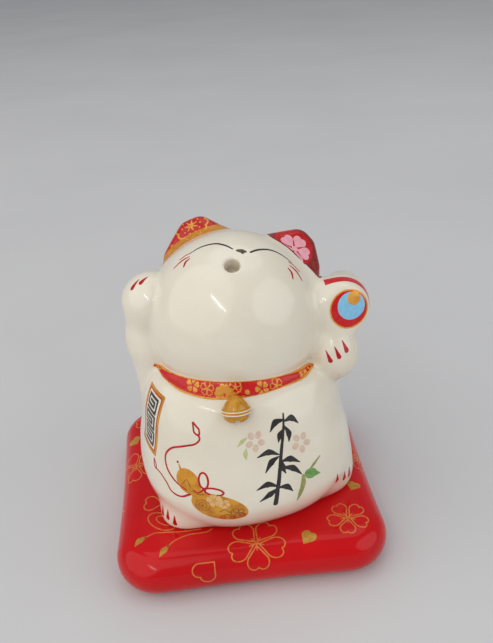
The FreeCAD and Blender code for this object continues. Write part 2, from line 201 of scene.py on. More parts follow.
def in_face(right, up, out):
    return FACE_RIGHT * right + FACE_UP * up + FACE_OUT * out


def segment_distance(u, v, a, b):
    (ax, ay), (bx, by) = a, b
    dx, dy = bx - ax, by - ay
    t = np.clip(((u - ax) * dx + (v - ay) * dy) / (dx * dx + dy * dy), 0, 1)
    return np.hypot(u - ax - t * dx, v - ay - t * dy)


def polygon(u, v, corners):
    """Distance to a polygon's outline, below zero inside."""
    inside = np.zeros(len(u), bool)
    best = np.full(len(u), 99.0)
    for a, b in zip(corners, corners[1:] + corners[:1]):
        best = np.minimum(best, segment_distance(u, v, a, b))
        crosses = (a[1] > v) != (b[1] > v)
        rise = b[1] - a[1] if b[1] != a[1] else 1e-9
        inside ^= crosses & (u < a[0] + (v - a[1]) / rise * (b[0] - a[0]))
    return np.where(inside, -best, best)


# The left ear's root and tip as right, up and out in the face's frame, and what moves each ear from there.
EAR_INNER, EAR_OUTER, EAR_TIP = (6.0, 14.9, 17.1), (20.4, 8.5, 10.0), (14.5, 20.8, 14.7)
EAR_SHIFT = {-1: (1.03, 2.3, -3.05), 1: (2.6, -1.4, -0.2)}
EAR_CORNERS = {
    -1: [(-6.6, -4.0), (6.4, -4.0), (6.1, 0.3), (-0.5, 5.4), (-3.2, 5.2), (-6.4, 0.0)],
    1: [(-6.6, -4.0), (2.8, -4.0), (3.0, 0.0), (-1.0, 4.2), (-2.8, 4.6), (-6.4, 0.0)],
}
EAR_ROUND = 3.9
EAR_HALF_THICKNESS = 2.7
EAR_DISH = 0.012
EAR_EDGE = 2.8


def ear_coordinates(p, side):
    """Outward along the ear's root, up the ear, and forward of its middle."""
    mirror = np.array([side, 1, 1])
    inner, outer, tip = (np.array(q) * mirror for q in (EAR_INNER, EAR_OUTER, EAR_TIP))
    middle = (inner + outer) / 2
    across = unit(*(outer - inner))
    height = tip - middle
    height = unit(*(height - across * (across @ height)))
    out = np.cross(across, height) * side
    q = p - HEAD - in_face(*(middle + EAR_SHIFT[side]))
    return tuple(q @ in_face(*axis) for axis in (across, height, out))


def ear(p, side):
    """A wide, round-tipped triangle that is dished a little on its front."""
    u, v, w = ear_coordinates(p, side)
    w = w + EAR_DISH * u * u
    flat = polygon(u, v, EAR_CORNERS[side]) - EAR_ROUND
    return smax(flat, np.abs(w) - EAR_HALF_THICKNESS, EAR_EDGE)


MALLET_FRONT = np.array([mallet_box.mid[0], mallet_box.low[1] + 1.0, mallet_box.high[2] - 5.9])
MALLET_TILT = math.radians(10)
MALLET_LENGTH = 14.0
MALLET_END = 6.1
MALLET_BELLY = 6.9
MALLET_DROP = (-0.7, -0.5)
MALLET_SPLAY = (0.12, 0.07)
MALLET_FLATNESS = 0.96
MALLET_EDGE = 1.8


def mallet_coordinates(p):
    """Distance back from the mallet's front face, and sideways and upwards on it."""
    c, s = math.cos(MALLET_TILT), math.sin(MALLET_TILT)
    q = p - MALLET_FRONT
    return q @ np.array([0.0, c, -s]), q[:, 0], q @ np.array([0.0, s, c])


def mallet(p):
    """A barrel lying front to back, a little below and inside its painted panel."""
    along, side, up = mallet_coordinates(p)
    middle = 2 * along / MALLET_LENGTH - 1
    radius = MALLET_END + (MALLET_BELLY - MALLET_END) * (1 - np.minimum(middle**2, 1.5))
    side = side - MALLET_DROP[0] - MALLET_SPLAY[0] * along
    up = up - MALLET_DROP[1] - MALLET_SPLAY[1] * along
    barrel = np.hypot(side, up * MALLET_FLATNESS) - radius
    ends = np.abs(along - MALLET_LENGTH / 2) - MALLET_LENGTH / 2
    return smax(barrel, ends, MALLET_EDGE)


def right_arm(p):
    """Up beside the head, with the paw folded forward at the top."""
    x, y, top = right_arm_box.low[0], right_arm_box.mid[1], right_arm_box.high[2]
    shoulder = (x + 10.0, y - 0.6, BASE + 20)
    elbow = (x + 8.4, y - 0.2, top - 19.0)
    wrist = (x + 8.3, y + 0.2, top - 7.7)
    lower = limb(p, shoulder, elbow, 7.4, 8.3)
    upper = limb(p, elbow, wrist, 8.3, 7.6)
    paw = ellipsoid(p, (x + 8.7, y - 1.5, top - 6.6), (6.9, 6.7, 6.4))
    return smin(smin(lower, upper, 2.0), paw, 4.0)


def left_arm(p):
    """A forearm with a round fist under the mallet."""
    x, y, top = left_arm_box.high[0], left_arm_box.low[1], left_arm_box.high[2]
    forearm = limb(p, (x - 10.6, y + 14.5, BASE + 24), (x - 9.6, y + 11.5, top + 2.0), 6.6, 6.8)
    fist = ellipsoid(p, (x - 6.9, y + 6.7, top - 11.2), (6.8, 6.8, 7.5))
    stem = limb(p, (x - 7.2, y + 8.0, top - 8.0), (x - 4.5, y + 10.5, top + 3.0), 5.6, 5.4)
    return smin(smin(forearm, fist, 3.0), stem, 3.0)


def feet(p):
    """The bulges at the body's front corners, the cat's right foot first."""
    right = right_foot_box.low
    left = left_foot_box
    first = ellipsoid(p, (right[0] + 7.4, right[1] + 7.6, BASE + 1.8), (7.6, 6.9, 5.6))
    second = ellipsoid(p, (left.high[0] - 6.6, left.mid[1] + 1.1, BASE + 3.0), (7.5, 7.4, 6.6))
    return first, second


def tail(p):
    """A short round tail that lies across the back."""
    x, y, z = tail_box.mid
    return limb(p, (x - 4.6, y + 0.3, z - 1.6), (x + 5.2, y + 0.6, z + 2.0), 4.0, 4.7)


NECK_TILT = math.radians(5)
NECK = np.array([HEAD[0], HEAD[1], collar_box.mid[2] + 0.1])


def neck_coordinates(p):
    """Height above the collar's middle plane, and the level direction round the neck."""
    normal = np.array([math.sin(NECK_TILT), 0.0, math.cos(NECK_TILT)])
    q = p - NECK
    return q @ normal, np.arctan2(q[:, 0], -q[:, 1])


# Degrees round the neck from the front, and the height of the collar's edge there.
COLLAR_LOWER = [
    (-80, 0.3), (-70, -1.3), (-47, -2.2), (-20, -2.2), (8, -1.3), (28, -0.5), (46, -0.1), (60, 0.9),
    (80, 0.8),
]
COLLAR_UPPER = [
    (-80, 0.6), (-70, -0.3), (-47, 0.6), (-22, 1.9), (0, 2.4), (21, 2.3), (48, 1.4), (60, 1.25), (80, 1.0),
]
# The same behind the arms, and the degrees where that starts and is reached.
COLLAR_BACK = (-1.5, 1.9)
BEHIND_FROM, BEHIND_TO = 82, 96


def collar_span(round_neck):
    """The heights of the collar's edges: in front it thins towards the arms, and behind them it is even."""
    angle = np.degrees(round_neck)
    behind = np.clip((np.abs(angle) - BEHIND_FROM) / (BEHIND_TO - BEHIND_FROM), 0, 1)
    behind = behind * behind * (3 - 2 * behind)
    front = curve_through(angle, COLLAR_LOWER), curve_through(angle, COLLAR_UPPER)
    return tuple(edge + (even - edge) * behind for edge, even in zip(front, COLLAR_BACK))


def collar_edge(height, round_neck):
    """Distance up or down to the nearer edge of the collar, below zero between them."""
    lower, upper = collar_span(round_neck)
    return np.maximum(lower - height, height - upper)


COLLAR_RADIUS = 23.0
COLLAR_OVAL = 1.02
COLLAR_LEAN = 0.36
COLLAR_EDGE = 1.2


def collar_relief(p):
    """A band that leans in towards its top, from the torso's shoulder to the head."""
    height, round_neck = neck_coordinates(p)
    radius = np.hypot((p[:, 0] - HEAD[0]) / COLLAR_OVAL, p[:, 1] - HEAD[1])
    band = (radius - COLLAR_RADIUS + COLLAR_LEAN * height) * 0.94
    return smax(band, collar_edge(height, round_neck), COLLAR_EDGE)


def mouth_coordinates(p):
    """Distance from the mouth socket's axis, and outwards along it."""
    q = p - MOUTH
    along = q @ MOUTH_AXIS
    return np.linalg.norm(q - along[:, None] * MOUTH_AXIS, axis=1), along


def mouth_hole(p):
    radius, along = mouth_coordinates(p)
    return smax(radius - MOUTH_RADIUS, -along - MOUTH_DEPTH, 0.5)


FOOT_RIM = 4.0
RECESS_DEPTH = 1.2
RECESS_ROUND = 0.8
VENT_RADIUS = 1.25
VENT_ROUND = 0.4
CAT_VENT_DEPTH = 6.0
CUSHION_VENT_DEPTH = 5.0


def underside(p):
    """What is hollowed out under the cat: a shallow recess inside the foot rim, and the vent."""
    across, back = turned_about(p, torso_box.mid[0], torso_box.mid[1], BODY_TURN)
    radius = np.hypot(across, back / TORSO_DEPTH)
    rise = p[:, 2] - BASE
    recess = smax(radius - TORSO_WIDTH[0][1] + FOOT_RIM, rise - RECESS_DEPTH, RECESS_ROUND)
    vent = smax(np.hypot(across, back) - VENT_RADIUS, rise - CAT_VENT_DEPTH, VENT_ROUND)
    return np.minimum(recess, vent)


def cat_solid(p):
    """The whole cat: each part, with how far it blends into the ones before it."""
    right_foot, left_foot = feet(p)
    body = torso(p)
    for part, blend in (
        (head(p), 1.2), (right_arm(p), 1.1), (smin(left_arm(p), mallet(p), 2.6), 2.2), (right_foot, 4.2),
        (left_foot, 6.5), (tail(p), 2.0), (collar_relief(p), 0.6), (np.minimum(ear(p, -1), ear(p, 1)), 2.0),
    ):
        body = smin(body, part, blend)
    body = smax(body, BASE - p[:, 2], 1.0)
    body = smax(body, -mouth_hole(p), 0.8)
    return smax(body, -underside(p), 0.6)


CUSHION_HALF = cushion_box.size[0] / 2
CUSHION_TOP = cushion_box.high[2]
CUSHION_EDGE = 6.3
CUSHION_CORNER = 12.5
CUSHION_PULL = 0.7
CUSHION_LIFT = 0.05


def cushion_recess(p):
    """What is hollowed out under the cushion: a shallow recess inside its foot rim, and the vent."""
    side = np.maximum(np.abs(p[:, 0]), np.abs(p[:, 1])) - CUSHION_HALF + CUSHION_EDGE + FOOT_RIM
    recess = smax(side, p[:, 2] - CUSHION_LIFT - RECESS_DEPTH, RECESS_ROUND)
    vent = smax(np.hypot(p[:, 0], p[:, 1]) - VENT_RADIUS, p[:, 2] - CUSHION_VENT_DEPTH, VENT_ROUND)
    return np.minimum(recess, vent)


def cushion_solid(p):
    """A rounded square slab whose sides pull in a little between the corners."""
    x, y = np.abs(p[:, 0]), np.abs(p[:, 1])
    far_x, far_y = (np.minimum(q / CUSHION_HALF, 1) for q in (x, y))
    pull_x, pull_y = (CUSHION_PULL * np.cos(far * math.pi / 2) ** 2 for far in (far_y, far_x))
    inside = CUSHION_HALF - CUSHION_CORNER
    plan = rounded(x - inside + pull_x, y - inside + pull_y, CUSHION_CORNER)
    level = np.abs(p[:, 2] - (CUSHION_TOP + CUSHION_LIFT) / 2) - (CUSHION_TOP - CUSHION_LIFT) / 2
    slab = rounded(plan + CUSHION_EDGE, level + CUSHION_EDGE, CUSHION_EDGE)
    return smax(slab, -cushion_recess(p), 0.6)


# ---------------- meshes from fields


def gradient(field, p, h=0.04):
    return np.stack([(field(p + h * e) - field(p - h * e)) / (2 * h) for e in np.eye(3)], axis=1)


def settle(field, p, rounds=3):
    """Move points on to the field's zero surface."""
    for _ in range(rounds):
        g = gradient(field, p)
        p = p - (field(p) / np.maximum((g * g).sum(axis=1), 0.05))[:, None] * g
    return p


def unit_rows(v):
    return v / np.maximum(np.linalg.norm(v, axis=1), 1e-9)[:, None]


def mesh_field(field, low, high, step):
    """Quads over the field's zero surface, with one vertex for each grid cell that it crosses."""
    low, high = np.array(low, float), np.array(high, float)
    counts = np.ceil((high - low) / step).astype(int) + 1
    axes = [low[a] + step * np.arange(counts[a]) for a in range(3)]
    grid = np.stack(np.meshgrid(*axes, indexing="ij"), axis=-1)
    value = field(grid.reshape(-1, 3)).reshape(counts)
    total = np.zeros((*(counts - 1), 3))
    number = np.zeros(counts - 1)
    edges = []
    for a in range(3):
        b, c = (a + 1) % 3, (a + 2) % 3
        first = tuple(slice(0, -1) if axis == a else slice(None) for axis in range(3))
        second = tuple(slice(1, None) if axis == a else slice(None) for axis in range(3))
        v0, v1 = value[first], value[second]
        crossing = (v0 < 0) != (v1 < 0)
        point = grid[first].copy()
        point[..., a] += step * np.where(crossing, v0 / np.where(crossing, v0 - v1, 1), 0)
        for db in (0, 1):
            for dc in (0, 1):
                pick = [slice(None)] * 3
                pick[b] = slice(db, counts[b] - 1 + db)
                pick[c] = slice(dc, counts[c] - 1 + dc)
                there = crossing[tuple(pick)]
                total += np.where(there[..., None], point[tuple(pick)], 0)
                number += there
        core = tuple(slice(None) if axis == a else slice(1, -1) for axis in range(3))
        at = np.argwhere(crossing[core])
        at[:, b] += 1
        at[:, c] += 1
        edges.append((at, b, c, v0[core][crossing[core]] >= 0))
    index = np.full(counts - 1, -1)
    used = number > 0
    index[used] = np.arange(used.sum())
    points = total[used] / number[used][:, None]
    quads = []
    for at, b, c, backwards in edges:
        corners = []
        for db, dc in ((-1, -1), (0, -1), (0, 0), (-1, 0)):
            cell = at.copy()
            cell[:, b] += db
            cell[:, c] += dc
            corners.append(index[tuple(cell.T)])
        quad = np.stack(corners, axis=1)
        quad[backwards] = quad[backwards][:, ::-1]
        quads.append(quad)
    return relax(field, points, np.concatenate(quads))


def relax(field, points, quads, rounds=3):
    """Even out a quad mesh on the field's surface."""
    points = settle(field, points)
    edges = np.concatenate([quads[:, [i, (i + 1) % 4]] for i in range(4)])
    for _ in range(rounds):
        total = np.zeros_like(points)
        number = np.zeros(len(points))
        np.add.at(total, edges[:, 0], points[edges[:, 1]])
        np.add.at(number, edges[:, 0], 1)
        moved = (total / number[:, None] - points) * 0.5
        normal = unit_rows(gradient(field, points))
        moved -= (moved * normal).sum(axis=1)[:, None] * normal
        points = settle(field, points + moved, 2)
    return points, quads


def split_quads(quads):
    return np.concatenate([quads[:, [0, 1, 2]], quads[:, [0, 2, 3]]])


def new_object(name, points, faces, material, normals=None):
    mesh = bpy.data.meshes.new(name)
    mesh.from_pydata((points * MM).tolist(), [], faces.tolist())
    mesh.polygons.foreach_set("use_smooth", np.ones(len(mesh.polygons), bool))
    mesh.validate()
    if normals is not None:
        mesh.normals_split_custom_set_from_vertices(normals.tolist())
    mesh.materials.append(material)
    obj = bpy.data.objects.new(name, mesh)
    bpy.context.scene.collection.objects.link(obj)
    return obj


def edge_keys(tris, count):
    """Each triangle side as one number that is the same for both of its directions."""
    sides = np.concatenate([tris[:, [0, 1]], tris[:, [1, 2]], tris[:, [2, 0]]])
    return sides.min(axis=1) * count + sides.max(axis=1)


def used_only(points, tris):
    """The mesh without the points that no triangle uses."""
    used = np.unique(tris)
    index = np.full(len(points), -1)
    index[used] = np.arange(len(used))
    return points[used], index[tris]


def refine(points, tris):
    """Split each triangle into four."""
    count = len(points)
    keys, inverse = np.unique(edge_keys(tris, count), return_inverse=True)
    middles = (points[keys // count] + points[keys % count]) / 2
    ab, bc, ca = count + inverse.reshape(3, -1)
    a, b, c = tris.T
    parts = [(a, ab, ca), (ab, b, bc), (ca, bc, c), (ab, bc, ca)]
    return np.concatenate([points, middles]), np.concatenate([np.stack(part, axis=1) for part in parts])


def clip(points, values, tris):
    """The part of a triangle mesh where the values are below zero."""
    inside = values < 0
    number = inside[tris].sum(axis=1)
    cut = tris[(number == 1) | (number == 2)]
    count = len(points)
    keys = np.unique(edge_keys(cut, count))
    first, second = keys // count, keys % count
    crossed = inside[first] != inside[second]
    keys, first, second = keys[crossed], first[crossed], second[crossed]
    t = values[first] / (values[first] - values[second])
    points_on_line = points[first] + t[:, None] * (points[second] - points[first])

    def between(a, b):
        key = np.minimum(a, b) * count + np.maximum(a, b)
        return count + np.searchsorted(keys, key)

    kept = [tris[number == 3]]
    for wanted, lone_is_inside in ((1, True), (2, False)):
        some = tris[number == wanted]
        lone = np.argmax(inside[some] == lone_is_inside, axis=1)
        a, b, c = some[np.arange(len(some))[:, None], (lone[:, None] + np.arange(3)) % 3].T
        ab, ca = between(a, b), between(c, a)
        if lone_is_inside:
            kept.append(np.stack([a, ab, ca], axis=1))
        else:
            kept.append(np.stack([ab, b, c], axis=1))
            kept.append(np.stack([ab, c, ca], axis=1))
    return used_only(np.concatenate([points, points_on_line]), np.concatenate(kept))


# How far the underside of a layer of colour lies below the glaze.
SINK = 0.06


def film(field, surface, shape, height, levels):
    """The mesh of a thin closed layer on the field's surface, wherever shape is below zero.

    surface is the field's own triangle mesh. It is split finer near the shape's outline before it
    is cut along that outline.
    """
    points, tris = surface
    reach = 1.1
    for level in range(levels + 1):
        values = shape(points)
        tris = tris[values[tris].min(axis=1) < reach]
        points, tris = used_only(points, tris)
        if level < levels:
            points, tris = refine(points, tris)
            reach *= 0.5
    points = settle(field, points, 2)
    points, tris = clip(points, shape(points), tris)
    normals = unit_rows(gradient(field, points))
    count = len(points)
    sides = np.concatenate([tris[:, [0, 1]], tris[:, [1, 2]], tris[:, [2, 0]]])
    there = sides[:, 0] * count + sides[:, 1]
    back = sides[:, 1] * count + sides[:, 0]
    a, b = sides[~np.isin(there, back)].T
    walls = [np.stack([b, a, a + count], axis=1), np.stack([b, a + count, b + count], axis=1)]
    faces = np.concatenate([tris, tris[:, ::-1] + count, *walls])
    return np.concatenate([points + normals * height, points - normals * SINK]), faces


# ---------------- flat shapes
# Each returns a distance, below zero inside. u runs right and v runs up on the surface, in millimetres.


def at(u, v, x, y, turn=0.0):
    """u, v in a frame at x, y that is turned anticlockwise by turn degrees."""
    c, s = math.cos(math.radians(turn)), math.sin(math.radians(turn))
    return (u - x) * c + (v - y) * s, (v - y) * c - (u - x) * s


def disc(u, v, x, y, radius):
    return np.hypot(u - x, v - y) - radius


def oval(u, v, x, y, half_width, half_height, turn=0.0):
    a, b = at(u, v, x, y, turn)
    near = np.hypot(a / half_width, b / half_height)
    far = np.hypot(a / half_width**2, b / half_height**2)
    return near * (near - 1) / np.maximum(far, 1e-9)


def panel(u, v, x, y, half_width, half_height, turn=0.0, corner=0.3):
    a, b = at(u, v, x, y, turn)
    return rounded(np.abs(a) - half_width + corner, np.abs(b) - half_height + corner, corner)


def union(*shapes):
    return np.minimum.reduce(shapes)


def both(*shapes):
    """What lies in every one of the shapes."""
    return np.maximum.reduce(shapes)


def outline(shape, width):
    return np.abs(shape) - width / 2


def even(shape, u, v, h=0.02):
    """A shape function's value over its slope, so that it measures distance."""
    middle = shape(u, v)
    slope = np.hypot(shape(u + h, v) - middle, shape(u, v + h) - middle) / h
    return middle / np.maximum(slope, 0.4)


def heart(u, v, x, y, height, turn=0.0, narrow=1.0):
    """A heart with its point at x, y, standing height tall along turn."""

    def plain(u, v):
        a, b = at(u, v, x, y, turn)
        a, b = np.abs(a) / height * 1.1 * narrow, b / height * 1.1
        lobe = np.hypot(a - 0.25, b - 0.75) - math.sqrt(2) / 4
        along = np.maximum(a + b, 0) / 2
        rest = np.sqrt(np.minimum(a**2 + (b - 1) ** 2, (a - along) ** 2 + (b - along) ** 2)) * np.sign(a - b)
        return np.where(a + b > 1, lobe, rest) * height / 1.1

    return even(plain, u, v)


def blossom(u, v, x, y, radius, turn=0.0, petals=5, gap=0.0, narrow=1.3):
    """Notched petals round a centre, each starting gap away from it."""
    shapes = []
    for number in range(petals):
        way = turn + 360 * number / petals
        c, s = math.cos(math.radians(way + 90)), math.sin(math.radians(way + 90))
        shapes.append(heart(u, v, x + gap * c, y + gap * s, radius - gap, way, narrow))
    return union(*shapes)


def stroke(u, v, points, widths):
    """A brush stroke through the points, as wide at each as widths says."""
    points = np.array(points, float)
    widths = np.interp(np.linspace(0, 1, len(points)), np.linspace(0, 1, len(widths)), widths)
    steps = 8 if len(points) > 2 else 1
    place = np.linspace(0, len(points) - 1, steps * (len(points) - 1) + 1)
    i = np.minimum(place.astype(int), len(points) - 2)
    t = (place - i)[:, None]
    padded = np.vstack([2 * points[0] - points[1], points, 2 * points[-1] - points[-2]])
    p0, p1, p2, p3 = (padded[i + k] for k in range(4))
    path = 0.5 * (2 * p1 + (p2 - p0) * t + (2 * p0 - 5 * p1 + 4 * p2 - p3) * t**2
                  + (3 * p1 - p0 - 3 * p2 + p3) * t**3)
    radius = np.interp(place, np.arange(len(points)), widths) / 2
    best = np.full(len(u), 99.0)
    for a, b, ra, rb in zip(path[:-1], path[1:], radius[:-1], radius[1:]):
        d = b - a
        k = np.clip(((u - a[0]) * d[0] + (v - a[1]) * d[1]) / max(d @ d, 1e-12), 0, 1)
        best = np.minimum(best, np.hypot(u - a[0] - k * d[0], v - a[1] - k * d[1]) - ra - k * (rb - ra))
    return best


def strokes(u, v, lines):
    """Brush strokes, each given as its points and its widths."""
    return union(*[stroke(u, v, points, widths) for points, widths in lines])


# ---------------- where shapes lie


def on_face(p):
    """Right and up on the face, measured along the head from its foremost point."""
    q = unit_rows(p - HEAD)
    r, u, g = q @ FACE_RIGHT, q @ FACE_UP, q @ FACE_OUT
    level = np.maximum(np.hypot(r, u), 1e-6)
    arc = HEAD_RADIUS * np.arctan2(level, g) / level
    return r * arc, u * arc


WRAP_RADIUS = 27.0


def on_body(p):
    """Right round the body from its front, and up from the cushion."""
    across, back = turned_about(p, torso_box.mid[0], torso_box.mid[1], BODY_TURN)
    return WRAP_RADIUS * np.arctan2(across, -back), p[:, 2] - BASE


def on_cushion(p):
    """Right and back over the cushion's top, carried on down round its edges."""
    start = CUSHION_HALF - CUSHION_EDGE
    drop = p[:, 2] - (CUSHION_TOP - CUSHION_EDGE)
    over = [np.maximum(np.abs(p[:, a]) - start, 0) for a in (0, 1)]
    flat = [np.minimum(np.abs(p[:, a]), start) for a in (0, 1)]
    rolled = [f + CUSHION_EDGE * np.arctan2(o, np.maximum(drop, 0)) for f, o in zip(flat, over)]
    rolled = [np.where(o > 0.01, r + np.maximum(-drop, 0), r) for r, o in zip(rolled, over)]
    return np.sign(p[:, 0]) * rolled[0], np.sign(p[:, 1]) * rolled[1]


def on_neck(p):
    """Right round the collar from its front, and up from its middle."""
    height, round_neck = neck_coordinates(p)
    return COLLAR_RADIUS * round_neck, height


# ---------------- materials


def srgb(r, g, b):
    """A colour given in 0 to 255 steps, as linear values."""
    return (*(((c / 255 + 0.055) / 1.055) ** 2.4 if c > 10 else c / 255 / 12.92 for c in (r, g, b)), 1.0)


class Paint:
    """A material's node tree and its Principled shader."""

    def __init__(self, name):
        self.material = bpy.data.materials.new(name)
        self.material.use_nodes = True
        self.nodes = self.material.node_tree.nodes
        self.links = self.material.node_tree.links
        self.shader = self.nodes["Principled BSDF"]
        self.place = self.add("ShaderNodeTexCoord").outputs["Object"]

    def add(self, kind, **values):
        node = self.nodes.new(kind)
        for key, value in values.items():
            if hasattr(node, key):
                setattr(node, key, value)
            else:
                node.inputs[key.replace("_", " ")].default_value = value
        return node

    def noise(self, scale, detail=3.0, roughness=0.55):
        """Noise with that many cells to the metre."""
        node = self.add("ShaderNodeTexNoise", Scale=scale, Detail=detail, Roughness=roughness)
        self.links.new(self.place, node.inputs["Vector"])
        return node.outputs["Fac"]

    def ramp(self, value, *stops):
        """Colours along a value, each stop as (place, colour)."""
        node = self.add("ShaderNodeValToRGB")
        elements = node.color_ramp.elements
        while len(elements) < len(stops):
            elements.new(0.5)
        for element, (position, colour) in zip(elements, stops):
            element.position = position
            element.color = colour
        self.links.new(value, node.inputs["Fac"])
        return node.outputs["Color"]

    def multiply(self, factor, a, b):
        """Colour a darkened by colour b, as far as factor says."""
        node = self.add("ShaderNodeMix", data_type="RGBA", blend_type="MULTIPLY")
        node.inputs[0].default_value = factor
        self.links.new(a, node.inputs[6])
        self.links.new(b, node.inputs[7])
        return node.outputs[2]

    def colour(self, value):
        self.links.new(value, self.shader.inputs["Base Color"])

    def rough(self, noise, low, high):
        """Roughness from low to high, by a noise."""
        node = self.add("ShaderNodeMapRange", From_Min=0.3, From_Max=0.7, To_Min=low, To_Max=high)
        self.links.new(noise, node.inputs["Value"])
        self.links.new(node.outputs["Result"], self.shader.inputs["Roughness"])

    def bump(self, *layers):
        """Bump from (height, distance in metres) layers."""
        normal = None
        for height, distance in layers:
            node = self.add("ShaderNodeBump", Distance=distance)
            self.links.new(height, node.inputs["Height"])
            if normal:
                self.links.new(normal, node.inputs["Normal"])
            normal = node.outputs["Normal"]
        self.links.new(normal, self.shader.inputs["Normal"])

    def set(self, **values):
        for key, value in values.items():
            self.shader.inputs[key.replace("_", " ")].default_value = value


def glaze(name, base, shade, clear, rough=(0.10, 0.20), ripple=0.00006, shine=0.5):
    """A fired glaze: its colour drifts, it has a few specks, and its surface ripples a little."""
    paint = Paint(name)
    drift = paint.ramp(paint.noise(55, 2.0), (0.32, srgb(*shade)), (0.68, srgb(*base)))
    fine = paint.noise(2600, 4.0)
    grain = paint.ramp(fine, (0.30, (0.90, 0.89, 0.87, 1)), (0.46, (1, 1, 1, 1)))
    speck = paint.ramp(paint.noise(900, 2.0, 0.4), (0.17, (0.55, 0.45, 0.33, 1)), (0.205, (1, 1, 1, 1)))
    paint.colour(paint.multiply(0.6, paint.multiply(0.35, drift, grain), speck))
    paint.rough(paint.noise(240, 3.0), *rough)
    paint.bump((paint.noise(110, 1.5, 0.4), ripple), (fine, 0.000003))
    paint.set(Coat_Weight=clear, Coat_Roughness=0.04, Coat_IOR=1.5, IOR=1.5, Specular_IOR_Level=shine)
    return paint.material


def enamel(name, base, shade, rough=(0.18, 0.34), metal=0.0, clear=0.2, cells=700):
    """On-glaze colour: a thin layer, denser in some places than in others."""
    paint = Paint(name)
    cloud = paint.noise(cells, 4.0, 0.6)
    fine = paint.noise(6000, 3.0)
    thin = paint.ramp(cloud, (0.30, srgb(*shade)), (0.62, srgb(*base)))
    grain = paint.ramp(fine, (0.28, (0.78, 0.76, 0.74, 1)), (0.50, (1, 1, 1, 1)))
    paint.colour(paint.multiply(0.5, thin, grain))
    paint.rough(cloud, *rough)
    paint.bump((cloud, 0.00001), (fine, 0.000004))
    paint.set(Coat_Weight=clear, Coat_Roughness=0.08, Metallic=metal, Specular_IOR_Level=0.3)
    return paint.material


def bare_clay():
    paint = Paint("bare_clay")
    grain = paint.noise(1800, 5.0, 0.6)
    paint.colour(paint.ramp(grain, (0.3, srgb(218, 208, 190)), (0.7, srgb(240, 233, 219))))
    paint.rough(grain, 0.75, 0.95)
    paint.bump((grain, 0.00006))
    return paint.material


WHITE = glaze("white_glaze", (238, 231, 213), (230, 221, 201), 0.4)
RED = glaze("red_glaze", (210, 3, 12), (192, 2, 9), 0.12, (0.08, 0.16), 0.00008, 0.25)
CLAY = bare_clay()
EAR_RED = enamel("ear_red_enamel", (204, 8, 12), (172, 4, 8), (0.12, 0.24), 0.0, 0.4)
EAR_BROWN = enamel("ear_brown_enamel", (146, 28, 20), (116, 18, 12), (0.12, 0.24), 0.0, 0.4)
OCHRE = enamel("ochre_enamel", (208, 140, 26), (190, 118, 16), (0.14, 0.26), 0.0, 0.4)
COLLAR_RED = enamel("collar_red_enamel", (214, 12, 16), (192, 8, 12), (0.14, 0.26), 0.0, 0.4)
GOLD = enamel("gold_enamel", (238, 172, 76), (218, 146, 52), (0.24, 0.38), 0.35, 0.1)
COPPER = enamel("cushion_line_gold", (224, 132, 62), (206, 106, 46), (0.24, 0.38), 0.2, 0.1)
OLD_GOLD = enamel("cushion_petal_gold", (206, 150, 62), (180, 124, 44), (0.24, 0.38), 0.3, 0.1)
BELL_GOLD = enamel("bell_ochre_enamel", (208, 148, 28), (184, 122, 14), (0.14, 0.28), 0.1, 0.5)
DARK_RED = enamel("dark_red_enamel", (196, 20, 26), (166, 12, 18))
INK = enamel("black_enamel", (34, 32, 34), (62, 58, 58), (0.2, 0.36))
BLUE = enamel("blue_enamel", (140, 204, 238), (128, 194, 230))
PINK = enamel("pink_enamel", (226, 200, 180), (218, 188, 166))
GREEN = enamel("green_enamel", (122, 168, 92), (92, 142, 70))
PALE_GREEN = enamel("pale_green_enamel", (198, 206, 150), (186, 196, 132))
EAR_PINK = enamel("ear_pink_enamel", (240, 176, 186), (232, 156, 170), (0.12, 0.24), 0.0, 0.6)
OLIVE_GREEN = enamel("olive_green_enamel", (160, 160, 96), (140, 140, 72))
OLIVE = enamel("olive_enamel", (84, 74, 44), (58, 50, 30))
OCHRE_PAINT = enamel("ochre_paint", (218, 156, 40), (190, 112, 22), (0.12, 0.22), 0.0, 0.3, 260)
GOURD_PALE = enamel("gourd_pale_enamel", (232, 190, 130), (222, 170, 106))
ORANGE = enamel("orange_enamel", (206, 92, 34), (190, 76, 28))
BROWN_GOLD = enamel("brown_gold_enamel", (176, 116, 40), (150, 92, 30), (0.2, 0.32), 0.35)


# ---------------- the cat


def glazed_piece(name, field, mesh, material, body):
    """A piece with the field's whole surface, and what colours need to lie on it."""
    points, quads = mesh
    piece = new_object(name, points, quads, material, unit_rows(gradient(field, points)))
    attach(piece, body)
    return piece, (field, (points, split_quads(quads)), body)


def layer(under, name, shape, material, slot_name, height=0.035, levels=2):
    """A layer of colour on a glazed piece."""
    field, surface, body = under
    piece = new_object(name, *film(field, surface, shape, height, levels), material)
    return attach(piece, body)


MARGIN = 2.0
low = np.minimum.reduce([b.low for b in (torso_box, right_arm_box, mallet_box, head_box)]) - MARGIN
high = np.maximum.reduce([b.high for b in (torso_box, mallet_box, head_box, tail_box)]) + MARGIN
cat_mesh = mesh_field(cat_solid, low, high, 0.6)
cat, on_cat = glazed_piece("cat_white_glaze", cat_solid, cat_mesh, WHITE, CAT)
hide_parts("torso_shell", "head_shell", "right_arm", "left_arm", "right_foot", "left_foot", "tail")
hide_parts("lucky_mallet")


def painted(*layer_values, **more):
    return layer(on_cat, *layer_values, **more)


# ---------------- the cat's colours


def before(p, depth):
    """Below zero where the head's surface stands further out in the face's direction than depth."""
    return depth - (p - HEAD) @ FACE_OUT


